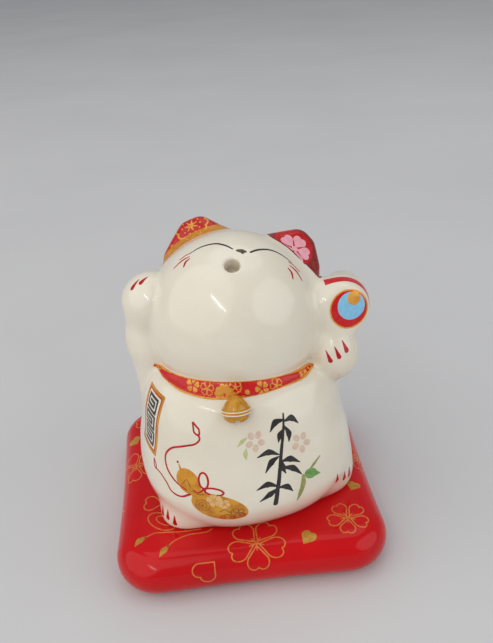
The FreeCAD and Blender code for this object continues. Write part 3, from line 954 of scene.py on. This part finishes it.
EYES = [
    ([(-13.0, 3.6), (-10.0, 5.0), (-6.4, 5.3), (-3.6, 4.1), (-1.8, 2.8)], (0.3, 0.6, 0.62, 0.4)),
    ([(2.9, 2.3), (4.9, 3.9), (8.0, 5.3), (11.2, 5.3), (14.6, 4.4)], (0.6, 0.62, 0.5, 0.25)),
]
WHISKERS = [
    ([(-13.0, 3.5), (-14.4, 3.3), (-16.4, 2.4)], (0.3, 0.42, 0.3)),
    ([(-13.3, 2.1), (-15.4, 1.6), (-18.0, 0.0)], (0.3, 0.6, 0.3)),
    ([(-13.2, 1.2), (-14.2, 0.4), (-14.6, -1.1)], (0.4, 0.7, 0.4)),
    ([(13.6, 3.9), (15.2, 3.7), (17.4, 2.8)], (0.3, 0.42, 0.3)),
    ([(14.0, 2.6), (16.2, 2.0), (18.6, 0.1)], (0.35, 0.65, 0.3)),
    ([(13.5, 1.2), (14.7, 0.2), (15.2, -1.5)], (0.4, 0.75, 0.4)),
]


def nose(p):
    u, v = on_face(p)
    point = stroke(u, v, [(0.6, 2.2), (0.9, 1.5)], (1.5, 0.6))
    return both(union(oval(u, v, 0.5, 2.25, 1.4, 0.6, -4), point), before(p, 10))


def face_lines(lines):
    return lambda p: both(strokes(*on_face(p), lines), before(p, 4))


painted("eye_lines", face_lines(EYES), INK, "black_enamel", 0.03, 3)
painted("whisker_lines", face_lines(WHISKERS), DARK_RED, "red_enamel", 0.03, 3)
painted("nose_mark", nose, OLIVE, "black_enamel", 0.03, 3)


RING_RISE = 0.30


def mouth_lining(p):
    radius, along = mouth_coordinates(p)
    return both(radius - MOUTH_RADIUS - 0.3, along + 0.7)


def foot_ring(p):
    return both(p[:, 2] - BASE - RING_RISE, -underside(p) + 0.1)


painted("mouth_bare_clay", mouth_lining, CLAY, "bare_clay", 0.02, 2)
painted("cat_foot_ring_clay", foot_ring, CLAY, "bare_clay", 0.02, 1)

# Heights above the head's own surface, where the ears' colours begin and the right ear's ochre ends.
EAR_BASE = 0.45
OCHRE_BASE = 0.08
OCHRE_TOP = 1.9
OCHRE_SLOPE = 0.01


def above_ochre(p):
    """Height above the ochre band's upper edge."""
    return head(p) - OCHRE_TOP + OCHRE_SLOPE * ear_coordinates(p, -1)[0]


def right_ear_red(p):
    return both(-above_ochre(p), ear(p, -1) - 1.2)


def right_ear_ochre(p):
    return both(OCHRE_BASE - head(p), above_ochre(p), ear(p, -1) - 1.0)


def left_ear_red(p):
    return both(EAR_BASE - head(p), ear(p, 1) - 1.2, -2.0 - ear_coordinates(p, 1)[1])


right_ear = painted("right_ear_red", right_ear_red, EAR_RED, "ear_red")
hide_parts("right_ear")
painted("right_ear_ochre_band", right_ear_ochre, OCHRE, "ochre_enamel")
left_ear = painted("left_ear_red", left_ear_red, EAR_BROWN, "ear_red", levels=3)
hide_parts("left_ear")


def ear_front(shape, side):
    """A flat shape on the front of an ear."""

    def on_it(p):
        u, v, w = ear_coordinates(p, side)
        return both(shape(u, v), 0.4 - w - EAR_DISH * u * u, ear(p, side) - 0.4, EAR_BASE - head(p))

    return on_it


def around(count, radius, turn=0.0):
    """Evenly spaced points round a circle."""
    angles = np.arange(count) * 2 * math.pi / count + turn
    return [(radius * math.sin(t), radius * math.cos(t)) for t in angles]


def right_ear_blossom(u, v):
    """A petal outline round a star and dots, and two small rings towards the ear's root."""
    x, y = -1.7, 5.6
    ring = outline(blossom(u, v, x, y, 4.6, 10, narrow=1.0), 0.5)
    star = union(*[stroke(u, v, [(x, y), (x + a, y + b)], (0.55, 0.25)) for a, b in around(7, 1.9, 0.5)])
    dots = union(*[disc(u, v, x + a, y + b, 0.25) for a, b in around(10, 2.7, 0.2)])
    rings = union(*[outline(disc(u, v, a, b, 0.36), 0.2) for a, b in ((5.5, 2.7), (6.9, 0.7))])
    return union(ring, star, dots, rings)


def left_ear_panel(u, v):
    return oval(u, v, -3.2, 0.8, 5.9, 5.4, -30)


def left_ear_blossom(u, v):
    return union(blossom(u, v, -2.7, 0.0, 4.5, 0, gap=0.6, narrow=1.1), disc(u, v, -2.7, 0.0, 0.9))


painted("right_ear_gold_blossom", ear_front(right_ear_blossom, -1), GOLD, "gold_enamel", 0.06, 3)
painted("left_ear_red_panel", ear_front(left_ear_panel, 1), EAR_RED, "ear_red", 0.055)
painted("left_ear_pink_blossom", ear_front(left_ear_blossom, 1), EAR_PINK, "pink_enamel", 0.075, 3)


def collar_band(p, inset=0.0):
    return both(collar_edge(*neck_coordinates(p)) + inset, collar_relief(p) - 0.6)


def collar_edges(p):
    return both(outline(collar_edge(*neck_coordinates(p)) + 0.08, 0.22), collar_relief(p) - 0.7)


def collar_flowers(p):
    """Blossoms in full and in outline by turns, with dots, and a plum bloom over the bell."""
    u, v = on_neck(p)
    shapes = [
        blossom(u, v, -4.9, -0.9, 2.5, 0, gap=0.2, narrow=1.0),
        outline(blossom(u, v, -2.1, 1.1, 1.5, 30, gap=0.1, narrow=1.0), 0.3),
        disc(u, v, 0.9, -0.2, 0.62),
        stroke(u, v, [(-2.6, -0.6), (-1.2, -1.2), (0.0, -1.2)], (0.3, 0.45)),
    ]
    for number in range(-4, 5):
        x = 18.2 * number
        lift = 0.5 * math.sin(math.radians(x * 2.5))
        shapes.append(blossom(u, v, x - 13.4, lift, 1.85, 20 * number, gap=0.3))
        shapes.append(outline(blossom(u, v, x - 9.4, lift, 1.75, 14 * number, gap=0.15), 0.2))
        if number:
            far = x if number > 0 else x - 7.6
            shapes.append(blossom(u, v, far, 0.75, 1.5, 50, gap=0.2, narrow=1.0))
            shapes.append(disc(u, v, far + 2.6, 0.9, 0.3))
    return both(union(*shapes), collar_band(p, 0.3))


collar = painted("collar_red_band", collar_band, COLLAR_RED, "collar_red", 0.12, 3)
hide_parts("collar")
painted("collar_gold_edges", collar_edges, GOLD, "gold_enamel", 0.17, 3)
painted("collar_gold_flowers", collar_flowers, GOLD, "gold_enamel", 0.15, 4)

FACE_RADIUS = 5.1


def mallet_face(shape):
    """A flat shape on the mallet's front end."""

    def on_it(p):
        along, side, up = mallet_coordinates(p)
        return both(shape(side, up), along - 2.0)

    return on_it


def mallet_dot(u, v):
    return both(disc(u, v, 1.4, 2.8, 1.8), disc(u, v, 0, 0, FACE_RADIUS - 0.2))


def mallet_band(p):
    """A band over the barrel's top, which ends over the paw on the inner side."""
    along, side, up = mallet_coordinates(p)
    near = mallet(p) - np.where(side < 0, 3.0, 0.6)
    return both(np.abs(along - 3.3) - 1.2, near, -side - 5.6, -up - 1.5)


for name, shape, material, slot_name, height in (
    ("mallet_gold_rim", lambda u, v: outline(disc(u, v, 0, 0, FACE_RADIUS), 0.36), GOLD, "gold_enamel", 0.06),
    ("mallet_red_ring", lambda u, v: disc(u, v, 0, 0, FACE_RADIUS), COLLAR_RED, "red_enamel", 0.035),
    ("mallet_blue_disc", lambda u, v: disc(u, v, 0.6, 0.8, 3.75), BLUE, "blue_enamel", 0.055),
    ("mallet_gold_dot", mallet_dot, GOLD, "gold_enamel", 0.075),
):
    painted(name, mallet_face(shape), material, slot_name, height)
painted("mallet_red_band", mallet_band, COLLAR_RED, "red_enamel")


def from_front(p):
    return p[:, 0], p[:, 2]


def from_above(p):
    return p[:, 0], p[:, 1]


def claws(name, mapper, keep, length, lean, *places):
    """Drops of paint at the places, pointed at their upper ends, where keep is below zero."""
    half = length / 2
    drops = [([(x - lean, y + half), (x, y), (x + lean, y - half)], (0.2, 0.7, 1.2)) for x, y in places]
    painted(name, lambda p: both(strokes(*mapper(p), drops), keep(p)), DARK_RED, "red_enamel")


claws("right_foot_claws", on_body, lambda p: p[:, 1] + 8, 2.8, 0, (-30.9, 4.5), (-28.7, 4.6), (-26.6, 3.6))
claws("left_foot_claws", from_front, lambda p: p[:, 1], 3.0, 0,
      (24.9, BASE + 10.0), (27.7, BASE + 7.5), (29.6, BASE + 6.7))
claws("fist_claws", from_front, lambda p: p[:, 1] + 6, 2.6, 0.5, (24.3, 57.3), (26.6, 58.3), (28.8, 59.5))
claws("beckoning_paw_claws", from_above, lambda p: 76 - p[:, 2], 1.5, -0.9, (-24.2, -1.1), (-21.9, -1.0))


def ink_bamboo(u, v):
    """Four joints of a stem, thinner upwards, with leaves in three tufts."""
    stem = [
        ([(0.4, 11.4), (1.2, 15.4)], (1.25, 1.1)),
        ([(1.35, 16.0), (2.6, 21.2)], (1.1, 1.0)),
        ([(2.8, 21.8), (4.4, 27.6)], (1.0, 0.9)),
        ([(4.6, 28.2), (6.6, 35.0)], (0.9, 0.5)),
    ]
    leaves = [
        [(6.4, 33.6), (3.4, 33.4), (1.4, 31.4)],
        [(6.5, 33.2), (8.8, 33.4), (10.4, 31.6)],
        [(6.0, 32.0), (6.9, 29.8), (6.5, 27.6)],
        [(5.8, 31.4), (4.2, 30.0), (3.4, 28.2)],
        [(2.9, 25.0), (0.2, 26.2), (-3.2, 25.4)],
        [(2.8, 24.4), (0.6, 23.4), (-1.4, 21.0)],
        [(3.4, 23.6), (3.4, 21.6), (4.0, 19.6)],
        [(3.6, 23.0), (6.0, 23.0), (8.4, 21.4)],
        [(3.4, 21.4), (6.2, 20.4), (8.2, 18.0)],
        [(1.4, 16.6), (-1.2, 17.8), (-4.2, 16.8)],
        [(1.4, 16.0), (-0.8, 14.8), (-3.6, 13.2)],
        [(1.8, 16.2), (3.8, 15.8), (5.2, 14.0)],
    ]
    return strokes(u, v, stem + [(leaf, (0.4, 1.9, 1.5, 0.2)) for leaf in leaves])


def small_blossoms(u, v):
    return union(*[
        oval(u, v, x + a, y + b, 0.85, 1.05, -math.degrees(math.atan2(a, b)))
        for x, y in ((-3.3, 29.9), (9.9, 26.3)) for a, b in around(5, 1.85, 0.65)
    ])


def small_leaves(u, v):
    return strokes(u, v, [
        ([(-5.6, 31.2), (-7.0, 30.4), (-8.4, 29.2)], (0.3, 1.2, 0.2)),
        ([(-6.0, 28.4), (-6.3, 27.0), (-6.2, 25.4)], (0.3, 1.3, 0.2)),
    ])


def grass_blade(u, v):
    return strokes(u, v, [
        ([(14.4, 20.6), (12.2, 19.4), (10.4, 18.2)], (0.3, 0.75, 0.5)),
        ([(8.5, 17.4), (8.3, 15.4), (7.2, 12.6), (6.2, 10.2)], (0.8, 1.4, 1.2, 0.2)),
    ])


def green_leaf(u, v):
    tip = stroke(u, v, [(11.2, 17.0), (13.3, 16.0)], (2.4, 0.3))
    return union(oval(u, v, 10.7, 17.2, 1.8, 1.45, -18), tip)


def gourd(u, v):
    lower = oval(u, v, -13.4, 12.4, 7.1, 3.9, -21)
    upper = oval(u, v, -21.1, 19.4, 2.9, 3.7, 38)
    waist = stroke(u, v, [(-19.6, 17.6), (-16.6, 14.8)], (2.2, 3.2))
    stalk = stroke(u, v, [(-23.0, 21.6), (-24.0, 23.4)], (1.0, 0.3))
    return union(smin(smin(lower, waist, 1.0), upper, 1.0), stalk)


def gourd_lines(u, v):
    """Rings, a blossom's outline and small waves on the gourd."""
    return union(
        outline(disc(u, v, -17.4, 13.2, 1.7), 0.2),
        outline(disc(u, v, -17.4, 13.2, 0.95), 0.18),
        disc(u, v, -17.4, 13.2, 0.35),
        outline(blossom(u, v, -9.2, 10.6, 1.7, 20, gap=0.2), 0.2),
        strokes(u, v, [
            ([(-13.4, 11.4), (-12.2, 12.2), (-11.2, 11.2), (-10.2, 12.2)], (0.24, 0.3)),
            ([(-13.0, 9.8), (-11.8, 10.4), (-10.8, 9.4)], (0.24, 0.3)),
            ([(-22.6, 18.4), (-21.4, 20.0), (-20.4, 18.2)], (0.2, 0.26)),
            ([(-20.0, 17.0), (-18.4, 16.4), (-17.2, 16.6)], (0.24, 0.34)),
        ]),
    )


def gourd_flowers(u, v):
    return union(
        blossom(u, v, -14.6, 15.0, 1.9, 10, gap=0.25, narrow=1.1),
        blossom(u, v, -12.3, 13.8, 1.4, 40, gap=0.2, narrow=1.1),
    )


def gourd_small_flowers(u, v):
    places = (-12.9, 9.2), (-10.6, 8.9), (-8.0, 9.6)
    return union(*[blossom(u, v, x, y, 0.9, 0, gap=0.15, narrow=1.0) for x, y in places])


def red_cords(u, v):
    """Two cords from the gourd's waist, each to a flame, and a bow where they start."""
    cords = [
        ([(-21.4, 17.0), (-24.7, 18.6), (-27.6, 21.2), (-28.5, 24.2), (-26.6, 27.0), (-22.8, 28.8),
          (-19.7, 30.0), (-18.5, 31.4), (-19.0, 32.5)], (0.35, 0.5, 0.55, 0.5, 0.45)),
        ([(-20.6, 15.9), (-22.9, 14.5), (-25.6, 14.9), (-27.4, 16.9), (-29.5, 18.3), (-31.7, 18.7)],
         (0.6, 0.45, 0.4, 0.35)),
        ([(-19.6, 17.4), (-18.4, 16.9), (-17.3, 17.8)], (0.35, 0.45)),
    ]
    return union(
        strokes(u, v, cords),
        outline(oval(u, v, -17.2, 20.4, 1.15, 2.1, 8), 0.5),
        outline(oval(u, v, -14.6, 17.5, 2.3, 0.95, -10), 0.5),
        disc(u, v, -17.0, 18.0, 0.5),
        disc(u, v, -24.4, 23.9, 0.32),
        outline(stroke(u, v, [(-19.0, 32.7), (-19.6, 33.5), (-20.8, 35.2)], (0.7, 1.5, 0.2)), 0.46),
        outline(stroke(u, v, [(-31.7, 18.7), (-32.2, 19.5), (-32.9, 20.7)], (0.4, 1.0, 0.15)), 0.36),
    )


TAG_X, TAG_Y, TAG_TURN = -37.0, 30.3, -2


def tag(u, v, half_width, half_height):
    return panel(u, v, TAG_X, TAG_Y, half_width, half_height, TAG_TURN)


def tag_fret(u, v):
    """Three small square frets, one above another."""
    corners = [
        (-2.5, -1.8), (2.5, -1.8), (2.5, 1.8), (-2.5, 1.8), (-2.5, -0.6), (1.2, -0.6), (1.2, 0.6),
        (-1.2, 0.6),
    ]
    sides = [([start, end], (0.78, 0.78)) for start, end in zip(corners, corners[1:])]
    return union(*[strokes(*at(u, v, TAG_X, TAG_Y + y, TAG_TURN), sides) for y in (-4.7, 0.0, 4.7)])


def on_front(shape):
    """A flat shape wrapped on the front half of the body."""
    return lambda p: both(shape(*on_body(p)), p[:, 1] - 6)


for name, shape, material, slot_name, height, levels in (
    ("belly_ink_bamboo", ink_bamboo, INK, "black_enamel", 0.03, 2),
    ("belly_pink_blossoms", small_blossoms, PINK, "pink_enamel", 0.02, 2),
    ("belly_pale_leaves", small_leaves, PALE_GREEN, "green_enamel", 0.02, 2),
    ("belly_olive_blade", grass_blade, OLIVE_GREEN, "green_enamel", 0.02, 2),
    ("belly_green_leaf", green_leaf, GREEN, "green_enamel", 0.03, 2),
    ("belly_ochre_gourd", gourd, OCHRE_PAINT, "ochre_enamel", 0.03, 2),
    ("belly_gourd_gold_lines", gourd_lines, BROWN_GOLD, "gold_enamel", 0.05, 3),
    ("belly_gourd_pale_flowers", gourd_flowers, GOURD_PALE, "pink_enamel", 0.05, 3),
    ("belly_gourd_orange_flowers", gourd_small_flowers, ORANGE, "red_enamel", 0.05, 3),
    ("belly_red_cords", red_cords, DARK_RED, "red_enamel", 0.05, 2),
    ("side_tag_ochre_frame", lambda u, v: both(tag(u, v, 4.9, 8.6), -tag(u, v, 3.6, 7.4)),
     OCHRE_PAINT, "ochre_enamel", 0.03, 2),
    ("side_tag_red_line", lambda u, v: outline(tag(u, v, 3.9, 7.7), 0.3), DARK_RED, "red_enamel", 0.05, 2),
    ("side_tag_grey_fret", tag_fret, INK, "black_enamel", 0.03, 2),
):
    painted(name, on_front(shape), material, slot_name, height, levels)


# ---------------- the bell

BELL = bell_box.mid + [0.5, -1.4, 1.2]
BELL_TILT = math.radians(-18)
BELL_STRIPES = (-0.25, 0.55)


def bell_coordinates(p):
    c, s = math.cos(BELL_TILT), math.sin(BELL_TILT)
    x, y, z = (p - BELL).T
    return x, y * c + z * s, z * c - y * s


def bell(p):
    """A flat-bottomed ball with a peak, two ridges round its middle and a slot below."""
    x, y, z = bell_coordinates(p)
    q = np.stack([x, y, z], axis=1)
    ball = smax(ellipsoid(q, (0, 0, -0.2), (3.5, 3.4, 3.6)), -3.1 - z, 1.6)
    body = smin(ball, ellipsoid(q, (0, 0, 1.7), (1.4, 1.7, 2.1)), 1.4)
    for height in BELL_STRIPES:
        body = smin(body, np.hypot(np.hypot(x, y) - 3.4, z - height) - 0.32, 0.3)
    slot = smax(np.abs(x) - 0.6, z + 1.6, 0.6)
    return smax(body, -slot, 0.3)


def bell_stripes(p):
    z = bell_coordinates(p)[2]
    return union(*[outline(z - height, 0.28) for height in BELL_STRIPES])


bell_mesh = mesh_field(bell, BELL - 5.0, BELL + 5.0, 0.22)
bell_piece, on_bell = glazed_piece("bell_gold", bell, bell_mesh, BELL_GOLD, CAT)
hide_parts("bell")
layer(on_bell, "bell_white_stripes", bell_stripes, WHITE, "white_glaze", 0.03, 1)


# ---------------- the cushion

reach = np.array([CUSHION_HALF + 1, CUSHION_HALF + 1, 0])
rise = np.array([0, 0, 1.5])
cushion_mesh = mesh_field(
    cushion_solid, -reach - rise, reach + rise + [0, 0, CUSHION_TOP], 0.9
)
cushion, on_slab = glazed_piece("cushion_red_glaze", cushion_solid, cushion_mesh, RED, CUSHION)
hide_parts("cushion_shell")

LINE = 0.36


def petal_outlines(u, v, x, y, radius, turn):
    """An outlined blossom with a dot and five short rays in its middle."""
    ways = [(-math.sin(t), math.cos(t)) for t in np.radians(np.arange(5) * 72 + turn)]
    rays = [([(x + 0.4 * a, y + 0.4 * b), (x + 2.1 * a, y + 2.1 * b)], (0.4, 0.2)) for a, b in ways]
    petals = outline(blossom(u, v, x, y, radius, turn, gap=0.7), LINE)
    return union(petals, strokes(u, v, rays), disc(u, v, x, y, 0.5))


def cushion_outlines(p):
    """Blossoms, hearts and a curled stem in line, down to the cushion's lower edge."""
    u, v = on_cushion(p)
    blossoms = (
        (0.7, -32.6, 7.6, 180), (26.8, -27.2, 5.6, 168), (-32.8, 4.9, 6.6, 170), (36.0, -1.0, 5.6, 30),
        (-27.5, 27.0, 6.4, 20), (2.0, 33.2, 6.8, 0), (29.0, 26.0, 6.0, 80),
    )
    hearts = (
        (-11.0, -36.4, 6.2, 135), (-24.6, -13.4, 5.2, 80), (30.0, 9.0, 4.6, 70), (-14.0, 33.0, 4.8, 200),
        (-37.0, -12.0, 4.4, 100),
    )
    stems = [
        ([(-14.0, -25.2), (-18.9, -25.4), (-23.9, -25.0), (-26.8, -24.9), (-29.4, -26.2)], (LINE, LINE)),
        ([(-10.9, -25.7), (-12.6, -26.6), (-17.4, -26.9), (-21.1, -28.4), (-23.2, -30.4)], (LINE, LINE)),
    ]
    shapes = [petal_outlines(u, v, *values) for values in blossoms]
    shapes += [outline(heart(u, v, *values), LINE) for values in hearts]
    shapes.append(outline(oval(u, v, -24.8, -20.6, 4.6, 2.7, -42), LINE))
    shapes.append(outline(oval(u, v, -24.2, -20.4, 2.6, 1.3, -42), 0.3))
    return both(union(strokes(u, v, stems), *shapes), 1.0 - p[:, 2])


def cushion_solids(p):
    u, v = on_cushion(p)
    buds = [
        ([(-29.4, -26.1), (-30.8, -27.1), (-32.0, -28.8)], (0.7, 1.9, 0.2)),
        ([(-23.1, -30.3), (-24.2, -31.6), (-25.3, -33.4)], (0.7, 1.9, 0.2)),
    ]
    return union(
        heart(u, v, 13.2, -34.4, 4.4, -40, 1.15),
        heart(u, v, 30.2, -16.6, 3.6, -30),
        heart(u, v, -33.0, 16.0, 4.0, 30),
        heart(u, v, 14.0, 30.0, 4.2, 140),
        strokes(u, v, buds),
    )


def cushion_ring(p):
    return both(p[:, 2] - CUSHION_LIFT - RING_RISE, -cushion_recess(p) + 0.1)


layer(on_slab, "cushion_gold_outlines", cushion_outlines, COPPER, "gold_enamel", 0.03, 3)
layer(on_slab, "cushion_gold_petals", cushion_solids, OLD_GOLD, "gold_enamel", 0.03, 3)
layer(on_slab, "cushion_foot_ring_clay", cushion_ring, CLAY, "bare_clay", 0.02, 1)


# ---------------- camera, floor and light


def look_from(point, aim, roll):
    """A camera's rotation at point, looking at aim and rolled anticlockwise by roll degrees."""
    away = (Vector(point) - Vector(aim)).normalized()
    right = Vector((0, 0, 1)).cross(away).normalized()
    upright = Matrix((right, away.cross(right), away)).transposed()
    return (upright @ Matrix.Rotation(math.radians(roll), 3, "Z")).to_euler()


AIM = np.array([6.93, 45.04, 38.0])
AZIMUTH, ELEVATION, DISTANCE, ROLL = math.radians(-3.56), math.radians(28.83), 249.5, -3.90
level = math.cos(ELEVATION) * DISTANCE
EYE = AIM + [level * math.sin(AZIMUTH), -level * math.cos(AZIMUTH), math.sin(ELEVATION) * DISTANCE]
lens = bpy.data.cameras.new("camera")
lens.lens = 40.31
lens.sensor_width = 36
lens.clip_start = 0.01
camera = bpy.data.objects.new("camera", lens)
camera.location = EYE * MM
camera.rotation_euler = look_from(EYE, AIM, ROLL)
bpy.context.scene.collection.objects.link(camera)
bpy.context.scene.camera = camera

FLOOR_HALF = 3000.0


def make_floor():
    """A plain sheet of pale paper."""
    paint = Paint("floor_paper")
    paint.colour(paint.ramp(paint.noise(6, 3.0), (0.3, srgb(206, 206, 207)), (0.7, srgb(212, 212, 212))))
    paint.set(Roughness=0.7)
    corners = np.array([(-1, -1, 0), (1, -1, 0), (1, 1, 0), (-1, 1, 0)]) * FLOOR_HALF
    new_object("floor", corners, np.array([[0, 1, 2, 3]]), paint.material)


def area_light(name, place, size, power, colour=(1, 1, 1), roll=0):
    """A round or long soft light at place, turned to the cat."""
    data = bpy.data.lights.new(name, "AREA")
    data.shape = "ELLIPSE"
    data.size, data.size_y = size[0] * MM, size[1] * MM
    data.energy = power
    data.color = colour
    obj = bpy.data.objects.new(name, data)
    obj.location = Vector(place) * MM
    obj.rotation_euler = look_from(place, (0, 0, 40), roll)
    bpy.context.scene.collection.objects.link(obj)


make_floor()
area_light("key", (-960, -520, 900), (2700, 2700), 15.0, (1.0, 0.965, 0.91))
area_light("fill", (1000, -600, 620), (1500, 1300), 4.6, (0.97, 0.99, 1.0))
area_light("top", (120, 300, 1000), (1000, 800), 1.4)
area_light("glint", (-241, -489, 538), (20, 400), 0.33, roll=50)
world = bpy.data.worlds.new("studio")
world.use_nodes = True
background = world.node_tree.nodes["Background"]
background.inputs["Color"].default_value = (0.93, 0.95, 1.0, 1)
background.inputs["Strength"].default_value = 0.38
bpy.context.scene.world = world
bpy.context.scene.view_settings.view_transform = "Standard"
